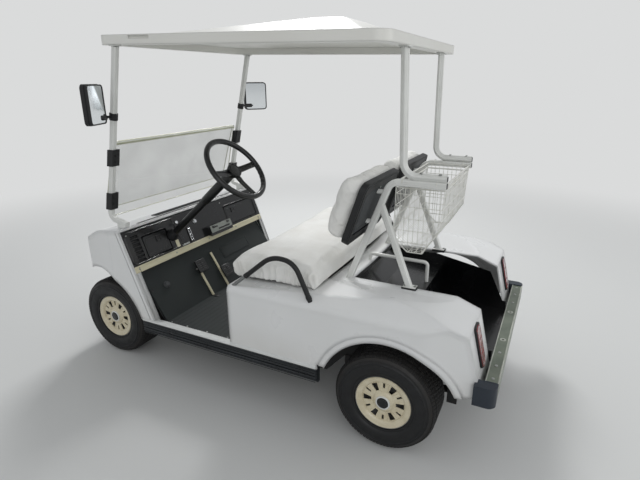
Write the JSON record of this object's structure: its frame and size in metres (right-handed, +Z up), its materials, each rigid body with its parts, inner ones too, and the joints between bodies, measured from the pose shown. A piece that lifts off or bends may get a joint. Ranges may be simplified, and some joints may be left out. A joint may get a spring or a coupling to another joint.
{
  "type": "golf cart",
  "caption": "Two-seat electric golf cart with a roof, folded clear windshield, white seats, a basket and an open bag well behind them.",
  "frame": {"origin": "on the ground, below the middle of the whole cart", "axes": "+X forward, +Y to the left of the driver, +Z up"},
  "size_m": [2.34, 1.46, 1.7927],
  "materials": {
    "tyre": "moulded rubber, satin",
    "cover": "moulded plastic cover on a pressed steel rim, beige",
    "white_shell": "moulded thermoplastic, white",
    "black_shell": "moulded thermoplastic, black",
    "gloss_black": "moulded thermoplastic, black, glossy",
    "cream_shell": "moulded thermoplastic, cream",
    "floor_rubber": "moulded mat, dark grey",
    "frame_paint": "painted welded aluminium and steel, dark",
    "white_paint": "powder coated steel tube, white",
    "cast": "cast and machined, dark",
    "spring_steel": "spring steel, dark oxide",
    "battery_case": "moulded case, dark",
    "seat_cloth": "woven cover, white",
    "soft_black": "foam and rubber grip, black",
    "bumper_paint": "extruded channel, grey green finish",
    "screen": "clear acrylic, lightly tinted",
    "lens_red": "moulded lens, red",
    "lens_clear": "moulded lens, clear",
    "mirror_case": "moulded case, black"
  },
  "bodies": {
    "chassis": {"backrest_shells": "black_shell", "backrests": "seat_cloth", "basket": "white_paint", "battery_pack": "battery_case", "bumper_caps": "black_shell", "chassis_frame": "frame_paint", "dash_panel": "gloss_black", "dash_rail": "cream_shell", "floor_mat": "floor_rubber", "floor_panel": "black_shell", "front_axle": "frame_paint", "front_bumper": "black_shell", "front_cowl": "white_shell", "front_struts": "white_paint", "head_lamps": "lens_clear", "hip_rails": "soft_black", "mirrors": "mirror_case", "pedals": "frame_paint", "rack_frame": "white_paint", "rear_axle": "cast", "rear_body": "white_shell", "rear_bumper": "bumper_paint", "rear_springs": "spring_steel", "rear_struts": "white_paint", "rockers": "black_shell", "roof": "white_shell", "screen_clips": "soft_black", "steering_column": "black_shell", "tail_lamps": "lens_red", "well_liner": "black_shell", "windshield_lower": "screen", "windshield_rail": "white_paint", "windshield_upper": "screen"},
    "glove_door_left": {"glove_door_left": "gloss_black"},
    "glove_door_right": {"glove_door_right": "gloss_black"},
    "knuckle_left": {"knuckle_left": "cast"},
    "knuckle_right": {"knuckle_right": "cast"},
    "wheel_front_left": {"rim_front_left": "cover", "tyre_front_left": "tyre"},
    "wheel_front_right": {"rim_front_right": "cover", "tyre_front_right": "tyre"},
    "wheel_rear_left": {"rim_rear_left": "cover", "tyre_rear_left": "tyre"},
    "wheel_rear_right": {"rim_rear_right": "cover", "tyre_rear_right": "tyre"},
    "seat_bottom": {"seat_bottom": "seat_cloth"},
    "steering_wheel": {"steering_wheel": "soft_black"},
    "tie_rod": {"tie_rod": "spring_steel"}
  },
  "joints": [
    {"name": "front_left_wheel_spin", "type": "hinge", "parent": "knuckle_left", "child": "wheel_front_left", "pos_m": [0.934, 0.436, 0.226], "axis": [0, 1, 0], "continuous": true},
    {"name": "front_right_wheel_spin", "type": "hinge", "parent": "knuckle_right", "child": "wheel_front_right", "pos_m": [0.934, -0.436, 0.226], "axis": [0, 1, 0], "continuous": true},
    {"name": "rear_left_wheel_spin", "type": "hinge", "parent": "chassis", "child": "wheel_rear_left", "pos_m": [-0.73, 0.494, 0.226], "axis": [0, 1, 0], "continuous": true},
    {"name": "rear_right_wheel_spin", "type": "hinge", "parent": "chassis", "child": "wheel_rear_right", "pos_m": [-0.73, -0.494, 0.226], "axis": [0, 1, 0], "continuous": true},
    {"name": "steering_turn", "type": "hinge", "parent": "chassis", "child": "steering_wheel", "pos_m": [0.195, 0.264, 1.106], "axis": [-0.7524, 0, 0.6587], "range_deg": [-270, 270]},
    {"name": "left_kingpin", "type": "hinge", "parent": "chassis", "child": "knuckle_left", "pos_m": [0.934, 0.33, 0.226], "axis": [0, 0, 1], "range_deg": [-27, 27]},
    {"name": "right_kingpin", "type": "hinge", "parent": "chassis", "child": "knuckle_right", "pos_m": [0.934, -0.33, 0.226], "axis": [0, 0, 1], "range_deg": [-27, 27]},
    {"name": "tie_rod_pivot", "type": "hinge", "parent": "knuckle_left", "child": "tie_rod", "pos_m": [0.838, 0.33, 0.248], "axis": [0, 0, 1], "range_deg": [-27, 27]},
    {"name": "seat_bottom_hinge", "type": "hinge", "parent": "chassis", "child": "seat_bottom", "pos_m": [-0.39, 0, 0.6483], "axis": [0, -1, 0], "range_deg": [0, 45]},
    {"name": "glove_door_left_hinge", "type": "hinge", "parent": "chassis", "child": "glove_door_left", "pos_m": [0.6572, 0, 0.622], "axis": [0, -1, 0], "range_deg": [0, 70]},
    {"name": "glove_door_right_hinge", "type": "hinge", "parent": "chassis", "child": "glove_door_right", "pos_m": [0.6572, 0, 0.622], "axis": [0, -1, 0], "range_deg": [0, 70]}
  ],
  "couplings": [
    {"joint": "left_kingpin", "follows": "steering_turn", "ratio": 0.1},
    {"joint": "right_kingpin", "follows": "steering_turn", "ratio": 0.1},
    {"joint": "tie_rod_pivot", "follows": "steering_turn", "ratio": -0.1}
  ]
}
